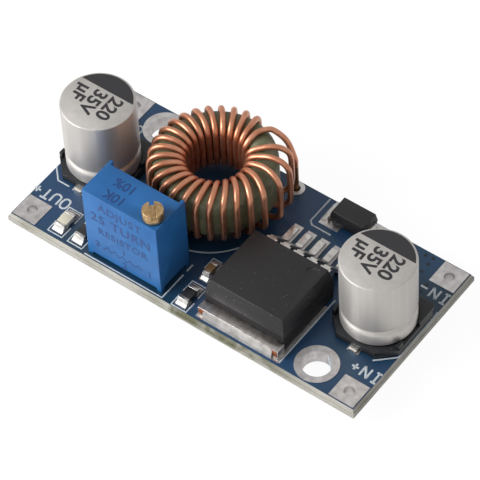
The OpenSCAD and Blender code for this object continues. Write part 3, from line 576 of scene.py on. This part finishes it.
def printed_word(name, word, place_mm, size, bolder, turn_deg=0, tilt_deg=0, thick=INK_T, spread=1.0):
    """A word in plain letters, its middle at that place."""
    bpy.ops.object.select_all(action="DESELECT")
    bpy.ops.object.text_add()
    text = bpy.context.object
    text.name = name
    text.data.body = word
    text.data.align_x = "CENTER"
    text.data.align_y = "CENTER"
    text.data.size = size * MM
    text.data.offset = bolder * MM
    text.data.space_character = spread
    text.data.extrude = thick / 2 * MM
    bpy.ops.object.convert(target="MESH")
    piece = bpy.context.object
    piece.rotation_euler = (math.radians(tilt_deg), 0, math.radians(turn_deg))
    piece.location = Vector(place_mm) * MM
    return piece


DUST_GRAIN, DUST_START, DUST_END, DUST_GREY = 0.16, 0.8, 0.86, "#77736f"


def moulded_resin(name, colour, roughness, grain_mm, depth_mm):
    # Filled moulding resin: matt, with a fine spark-eroded grain and a few specks of dust
    material, tree, shader, place = start_material(name, colour, roughness)
    grained(tree, shader, place, grain_mm, depth_mm)
    dusty = clouded(tree, place, DUST_GRAIN, colour, DUST_GREY, DUST_START, DUST_END, detail=0.0)
    tree.links.new(dusty, shader.inputs["Base Color"])
    return material


aluminium = can_aluminium()
# Glass-filled nylon for the bases, and thin printing ink: one near black and satin, one a brownish black
base_black = moulded_resin("black_base_nylon", "#15171b", 0.45, 0.15, 0.006)
print_black = moulded_resin("black_printing_ink", "#2b292c", 0.4, 0.1, 0.001)
# Bright tin plating on the thin leads: the palest metal here
bright_tin = levelled_tin("bright_tin_plate", "#b9b5b1", "#e0dcd8", 0.3)
LETTER_SIZE = 2.15
can_words = (("value", "220", 1.6, -0.18), ("voltage", "35V", -0.4, -0.36), ("unit", "\u00b5F", -2.2, 0.0))
for which in ("input", "output"):
    can_low, can_high = (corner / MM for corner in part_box(which + "_capacitor_can"))
    x, y, top = (can_low.x + can_high.x) / 2, (can_low.y + can_high.y) / 2, can_high.z
    finish_piece(drawn_can(which + "_can_drawn", x, y), aluminium,
                 stands_for=[which + "_capacitor_can"])
    finish_piece(moulded_base(which + "_base_moulded", x, y), base_black,
                 stands_for=[which + "_capacitor_base"])
    paint_node(which + "_capacitor_leads", bright_tin)
    finish_piece(printed_segment(which + "_can_polarity_mark", x, y, top), print_black)
    for row, word, along, across in can_words:
        printed = printed_word(which + "_can_" + row, word, (x + along, y + across, top + PRINT_T / 2),
                               LETTER_SIZE, turn_deg=-90, bolder=0.06, thick=PRINT_T)
        finish_piece(printed, print_black)


# ---- Regulator ----
# A power package: silicon on a tinned copper tab, moulded in black epoxy, with five formed leads.
# The tab and the feet of the leads are soldered flat to the board.

PARTING_HEIGHT = 2.3


def regulator_compound():
    # Black epoxy, finely matt above the line where the mould parts and duller below it; below that line its
    # colour is darker, as painted shade
    material, tree, shader, place = start_material("two_finish_compound_painted_shade", "#191719", 0.5)
    height = add(tree, "ShaderNodeSeparateXYZ", {"Vector": place}).outputs["Z"]
    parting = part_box("regulator_body")[0].z + PARTING_HEIGHT * MM
    above = add(tree, "ShaderNodeMath", {0: height, 1: parting}, operation="GREATER_THAN").outputs[0]
    # Painted shade: the black is darker below the parting line
    skin_with_painted_shade = add(tree, "ShaderNodeMixRGB",
               {"Fac": above, "Color1": linear("#0c0b0c"), "Color2": linear("#191719")}).outputs["Color"]
    dust = add(tree, "ShaderNodeTexNoise",
               {"Vector": place, "Scale": 1 / (DUST_GRAIN * MM), "Detail": 0.0}).outputs["Fac"]
    dusty = add(tree, "ShaderNodeMapRange", {"Value": dust, "From Min": DUST_START, "From Max": DUST_END})
    colour = add(tree, "ShaderNodeMixRGB",
                 {"Fac": dusty.outputs["Result"], "Color1": skin_with_painted_shade, "Color2": linear(DUST_GREY)})
    tree.links.new(colour.outputs["Color"], shader.inputs["Base Color"])
    rough = add(tree, "ShaderNodeMapRange", {"Value": above, "To Min": 0.75, "To Max": 0.5})
    tree.links.new(rough.outputs["Result"], shader.inputs["Roughness"])
    grained(tree, shader, place, 0.1, 0.006)
    return material


# Matt tin plating on the stamped tab: a soft, darker grey
lead_tin = levelled_tin("matt_tin_plate", "#a29c98", "#cac4c0", 0.36)
body = dress("regulator_body", "regulator_moulding", edge_mm=0.05)
finish_piece(body, regulator_compound(), stands_for=["regulator_body"])
tab = dress("regulator_tab", "regulator_heat_tab", edge_mm=0.03)
finish_piece(tab, lead_tin, stands_for=["regulator_tab"])
lead_low, lead_high = (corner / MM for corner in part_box("regulator_leads"))
LEAD_W, LEAD_T, LEAD_ROOT, LEAD_COUNT = 0.8, 0.45, 1.2, 5
SHOULDER_W, SHOULDER_T, SHOULDER_START, SHOULDER_END = 1.25, LEAD_T * 0.98, 0.06, 0.85
# Side view of one lead: distance from the body's back, and height above its seat
lead_side = [(-1.15, 2.75), (0.9, 2.75), (1.15, 2.66), (1.33, 2.45), (2.75, 0.62), (2.95, 0.48),
             (3.2, 0.45), (4.75, 0.45), (4.85, 0.35), (4.85, 0), (3.1, 0), (2.8, 0.06), (2.55, 0.25),
             (1.0, 2.2), (0.85, 2.3), (-1.15, 2.3)]


def formed_lead(x):
    """One flat lead, bent down to its foot, with the wide stub of the bar that joined it to the next."""
    back_y, foot_z = lead_low.y + LEAD_ROOT, lead_low.z
    lead = flat_plate("formed_lead", lead_side, LEAD_W)
    lead.rotation_euler = (math.radians(90), 0, math.radians(90))
    lead.location = (x * MM, back_y * MM, foot_z * MM)
    fix_place(lead)
    close_solid()
    bpy.ops.object.select_all(action="DESELECT")
    middle = Vector((x, back_y + (SHOULDER_START + SHOULDER_END) / 2, lead_high.z - LEAD_T / 2)) * MM
    size = Vector((SHOULDER_W, SHOULDER_END - SHOULDER_START, SHOULDER_T)) * MM
    bpy.ops.mesh.primitive_cube_add(size=1, location=middle, scale=size)
    shoulder = bpy.context.object
    fix_place(shoulder)
    make_mesh_active(lead)
    union = lead.modifiers.new("shoulder", "BOOLEAN")
    union.operation, union.object, union.solver = "UNION", shoulder, "EXACT"
    bpy.ops.object.modifier_apply(modifier="shoulder")
    bpy.data.objects.remove(shoulder)
    round_edges(lead, edge_mm=0.03, angle_deg=30)
    return lead


first_x = lead_low.x + SHOULDER_W / 2
lead_pitch = (lead_high.x - lead_low.x - SHOULDER_W) / (LEAD_COUNT - 1)
lead_row = [formed_lead(first_x)]
for i in range(1, LEAD_COUNT):
    copy = bpy.data.objects.new("formed_lead", lead_row[0].data.copy())
    bpy.context.scene.collection.objects.link(copy)
    copy.location = (i * lead_pitch * MM, 0, 0)
    fix_place(copy)
    lead_row.append(copy)
leads = join_pieces(lead_row, "regulator_formed_leads")
finish_piece(leads, bright_tin, smooth_deg=20, stands_for=["regulator_leads"])
paint_node("regulator_solder", solder)

# Bare copper shows at both ends of the tab's front, where the strip was cut after it was tinned
tab_low, tab_high = (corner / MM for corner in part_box("regulator_tab"))
tab_height = tab_high.z - tab_low.z
CUT_W, CUT_T, CUT_INSET, CUT_EDGE = 0.75, 0.03, 0.1, 0.02
# The height of the bare patch and of its middle, as shares of the tab's thickness
CUT_SHARE, CUT_MIDDLE = 0.62, 0.55


def cut_copper():
    # Sheared copper: rough, red-brown and dull
    material, tree, shader, place = start_material("sheared_copper", "#a4603c", 0.5, 1.0)
    tree.links.new(clouded(tree, place, 0.2, "#7c4027", "#b8764f"), shader.inputs["Base Color"])
    grained(tree, shader, place, 0.1, 0.01, detail=2.0)
    return material


bare_copper = cut_copper()
for side, x in (("left", tab_low.x + CUT_W / 2 + CUT_INSET), ("right", tab_high.x - CUT_W / 2 - CUT_INSET)):
    bpy.ops.object.select_all(action="DESELECT")
    middle = Vector((x, tab_low.y, tab_low.z + tab_height * CUT_MIDDLE)) * MM
    size = Vector((CUT_W, CUT_T * 2, tab_height * CUT_SHARE)) * MM
    bpy.ops.mesh.primitive_cube_add(size=1, location=middle, scale=size)
    patch = bpy.context.object
    patch.name = "tab_cut_" + side
    fix_place(patch)
    bpy.ops.object.mode_set(mode="EDIT")
    bpy.ops.mesh.select_all(action="SELECT")
    bpy.ops.mesh.bevel(offset=CUT_EDGE * MM, segments=2)
    bpy.ops.object.mode_set(mode="OBJECT")
    finish_piece(patch, bare_copper)


# ---- Diode ----
# A flyback diode in a black moulded body.
# Its two flat leads are folded under it and soldered to their lands.

# Filled epoxy from a spark-eroded mould: an even matt black
diode_black = moulded_resin("epoxy_moulding_compound", "#191719", 0.5, 0.1, 0.006)
finish_piece(dress("diode_body", "diode_moulding", edge_mm=0.06), diode_black,
             stands_for=["diode_body"])
finish_piece(dress("diode_leads", "diode_folded_leads", edge_mm=0.03), bright_tin,
             stands_for=["diode_leads"])
paint_node("diode_solder", solder)


# ---- Trimmer ----
# A 25-turn trimming potentiometer: blue moulded housing, cast resin underside, slotted brass screw.
# Its three pins pass through the board, and the screw turns in a rubber ring.

def trimmer_blue():
    # Glass-filled nylon: even, strong blue with a satin moulded skin
    material, tree, shader, place = start_material("blue_moulded_nylon", "#19609f", 0.45)
    tree.links.new(clouded(tree, place, 2.5, "#165b9a", "#1e67a7"), shader.inputs["Base Color"])
    grained(tree, shader, place, 0.12, 0.008)
    return material


def turned_brass():
    # Free-cutting brass straight from the lathe: satin, with fine turning lines
    material, tree, shader, place = start_material("turned_brass", "#b3925f", 0.42, 1.0)
    tree.links.new(clouded(tree, place, 0.4, "#a5845a", "#cfb287"), shader.inputs["Base Color"])
    grained(tree, shader, place, 0.1, 0.004, detail=2.0)
    return material


blue = trimmer_blue()
finish_piece(dress("trimmer_housing", "trimmer_blue_case", edge_mm=0.05), blue,
             stands_for=["trimmer_housing"])
# Cast epoxy under the case, a fired alumina plate inside it and a silicone ring round the screw:
# dark blue and slightly wavy, matt white, and dull black
paint_node("trimmer_potting", moulded_resin("cast_blue_resin", "#1c3f73", 0.35, 0.3, 0.02))
paint_node("trimmer_element", start_material("fired_alumina", "#e6e4dc", 0.6)[0])
paint_node("trimmer_seal", start_material("silicone_rubber", "#1c1c1c", 0.6)[0])
paint_node("trimmer_pins", lead_tin)
paint_node("trimmer_solder", solder)
brass = turned_brass()
finish_piece(dress("trimmer_screw", "slotted_brass_screw", edge_mm=0.06), brass,
             body="adjusting_screw", stands_for=["trimmer_screw"])

# Marks on the case: the resistor's sign with its three pin numbers, and plain words.
# They are stamped in an ink that is a darker blue than the case.
stamp_blue = start_material("dark_blue_stamp", "#1a3f78", 0.5)[0]
front_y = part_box("trimmer_housing")[0].y / MM
TRIMMER_TOP, STAMP_LINE_W, TOP_LETTER_SIZE = 11.69, 0.18, 1.6
zigzag = [(-9.9, 3.55), (-9.35, 4.2), (-8.9, 3.6), (-8.4, 4.15), (-7.9, 3.55), (-7.4, 4.1), (-6.9, 3.5),
          (-6.4, 4.05), (-5.9, 3.5), (-5.4, 3.95), (-4.9, 3.6)]
wiper = [(-7.15, 5.15), (-7.15, 4.45)]
finish_piece(printed_lines("trimmer_resistor_sign", [zigzag, wiper], STAMP_LINE_W, 90, (0, front_y, 0)),
             stamp_blue)
front_words = (("pin_3", "3", -10.65, 3.9, 1.3), ("pin_2", "2", -7.2, 2.7, 1.3),
               ("pin_1", "1", -3.9, 3.5, 1.3), ("word_1", "ADJUST", -7.3, 10.2, 1.5),
               ("word_2", "25 TURN", -7.3, 8.25, 1.8), ("word_3", "RESISTOR", -7.2, 6.3, 1.35))
for name, word, x, z, size in front_words:
    finish_piece(printed_word("trimmer_" + name, word, (x, front_y, z), size, tilt_deg=90, bolder=0.02,
                              spread=1.12), stamp_blue)
for name, word, x, y in (("value", "10K", -8.6, -8.7), ("tolerance", "10%", -8.6, -6.9)):
    finish_piece(printed_word("trimmer_" + name, word, (x, y, TRIMMER_TOP), TOP_LETTER_SIZE, turn_deg=180,
                              bolder=0.02), stamp_blue)


# ---- Chips ----
# Thick-film resistors, a multilayer ceramic capacitor and an indicator lamp, reflowed onto their lands.
# Each is a small block with a metal cap on both ends.

# Milky resin on the lamp, black glass on the resistors and brown fired ceramic on the capacitor
for node, colour, slot, rough in (("indicator_lamp", "#d9d3bd", "lamp_white", 0.35),
                                  ("lamp_resistor", "#1f2124", "black_moulding", 0.4),
                                  ("feedback_resistor", "#1f2124", "black_moulding", 0.4),
                                  ("ceramic_capacitor", "#8a6a45", "brown_ceramic", 0.4)):
    finish_piece(dress(node, node + "_body", edge_mm=0.04),
                 start_material(node + "_glaze", colour, rough)[0], stands_for=[node])
finish_piece(dress("chip_ends", "chip_end_caps", edge_mm=0.04), solder,
             stands_for=["chip_ends"])
paint_node("chip_solder_fillets", solder)


# ---- Studio ----
# White paper under the module, one large soft lamp low at the front left, and a bright surround.
# The camera stands above the front right corner, with a long lens.

PAPER_SIZE, PAPER_GAP = 1600, 1.8
PAPER_SEEN, PAPER_MIRRORED, PAPER_GLOW = 0.9, 0.6, 1.05


def studio_paper():
    # Matt white paper, lifted towards plain white for the camera, with the module's soft shadow left in it
    material, tree, shader, place = start_material("white_paper", "#f7f7f7", 0.9)
    rays = add(tree, "ShaderNodeLightPath").outputs
    seen = add(tree, "ShaderNodeMath", {0: rays["Is Camera Ray"], 1: PAPER_SEEN}, operation="MULTIPLY")
    mirrored = add(tree, "ShaderNodeMath", {0: rays["Is Glossy Ray"], 1: PAPER_MIRRORED},
                   operation="MULTIPLY")
    lifted = add(tree, "ShaderNodeMath", {0: seen.outputs[0], 1: mirrored.outputs[0]}, operation="MAXIMUM")
    white = add(tree, "ShaderNodeEmission", {"Color": (1, 1, 1, 1), "Strength": PAPER_GLOW})
    mix = add(tree, "ShaderNodeMixShader",
              {0: lifted.outputs[0], 1: shader.outputs[0], 2: white.outputs[0]})
    tree.links.new(mix.outputs[0], tree.nodes["Material Output"].inputs["Surface"])
    return material


board_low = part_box("board")[0]
bpy.ops.object.select_all(action="DESELECT")
bpy.ops.mesh.primitive_plane_add(size=PAPER_SIZE * MM, location=(0, 0, board_low.z - PAPER_GAP * MM))
floor = bpy.context.object
floor.name = "paper_floor"
floor.data.materials.append(studio_paper())

SURROUND, SURROUND_MIRRORED, SURROUND_SEEN = 0.4, 0.68, 1.0
world = bpy.data.worlds.new("studio")
bpy.context.scene.world = world
world.use_nodes = True
sky = world.node_tree
rays = add(sky, "ShaderNodeLightPath").outputs
mirrored = add(sky, "ShaderNodeMapRange",
               {"Value": rays["Is Glossy Ray"], "To Min": SURROUND, "To Max": SURROUND_MIRRORED})
level = add(sky, "ShaderNodeMix", {"Factor": rays["Is Camera Ray"], "A": mirrored.outputs["Result"],
                                   "B": SURROUND_SEEN}).outputs["Result"]
sky.nodes["Background"].inputs["Color"].default_value = (1, 1, 1, 1)
sky.links.new(level, sky.nodes["Background"].inputs["Strength"])

KEY_PLACE, KEY_AIM = Vector((-165, -195, 156)), Vector((0, 0, 4))
KEY_SIZE, KEY_WATTS = 200, 0.96
lamp = bpy.data.lights.new("key_lamp", "AREA")
lamp.size = KEY_SIZE * MM
lamp.energy = KEY_WATTS
key = bpy.data.objects.new("key_lamp", lamp)
bpy.context.scene.collection.objects.link(key)
key.location = KEY_PLACE * MM
key.rotation_mode = "QUATERNION"
key.rotation_quaternion = (KEY_PLACE - KEY_AIM).to_track_quat("Z", "Y")

CAMERA_AZIMUTH, CAMERA_ELEVATION, CAMERA_ROLL = (math.radians(a) for a in (39.586, 51.165, -3.586))
CAMERA_DISTANCE, CAMERA_LENS = 334.7 * MM, 240.64
camera_aim = Vector((-0.9425, 1.4267, 0)) * MM
back = Vector((math.sin(CAMERA_AZIMUTH) * math.cos(CAMERA_ELEVATION),
               -math.cos(CAMERA_AZIMUTH) * math.cos(CAMERA_ELEVATION), math.sin(CAMERA_ELEVATION)))
level_right = Vector((math.cos(CAMERA_AZIMUTH), math.sin(CAMERA_AZIMUTH), 0))
level_up = back.cross(level_right)
right = math.cos(CAMERA_ROLL) * level_right + math.sin(CAMERA_ROLL) * level_up
up = back.cross(right)
camera = bpy.data.objects.new("camera", bpy.data.cameras.new("camera"))
bpy.context.scene.collection.objects.link(camera)
camera.data.lens = CAMERA_LENS
camera.data.clip_start, camera.data.clip_end = 0.01, 10
turn = Matrix((right, up, back)).transposed()
camera.matrix_world = Matrix.Translation(camera_aim + back * CAMERA_DISTANCE) @ turn.to_4x4()
bpy.context.scene.camera = camera
bpy.context.scene.view_settings.view_transform = "Standard"
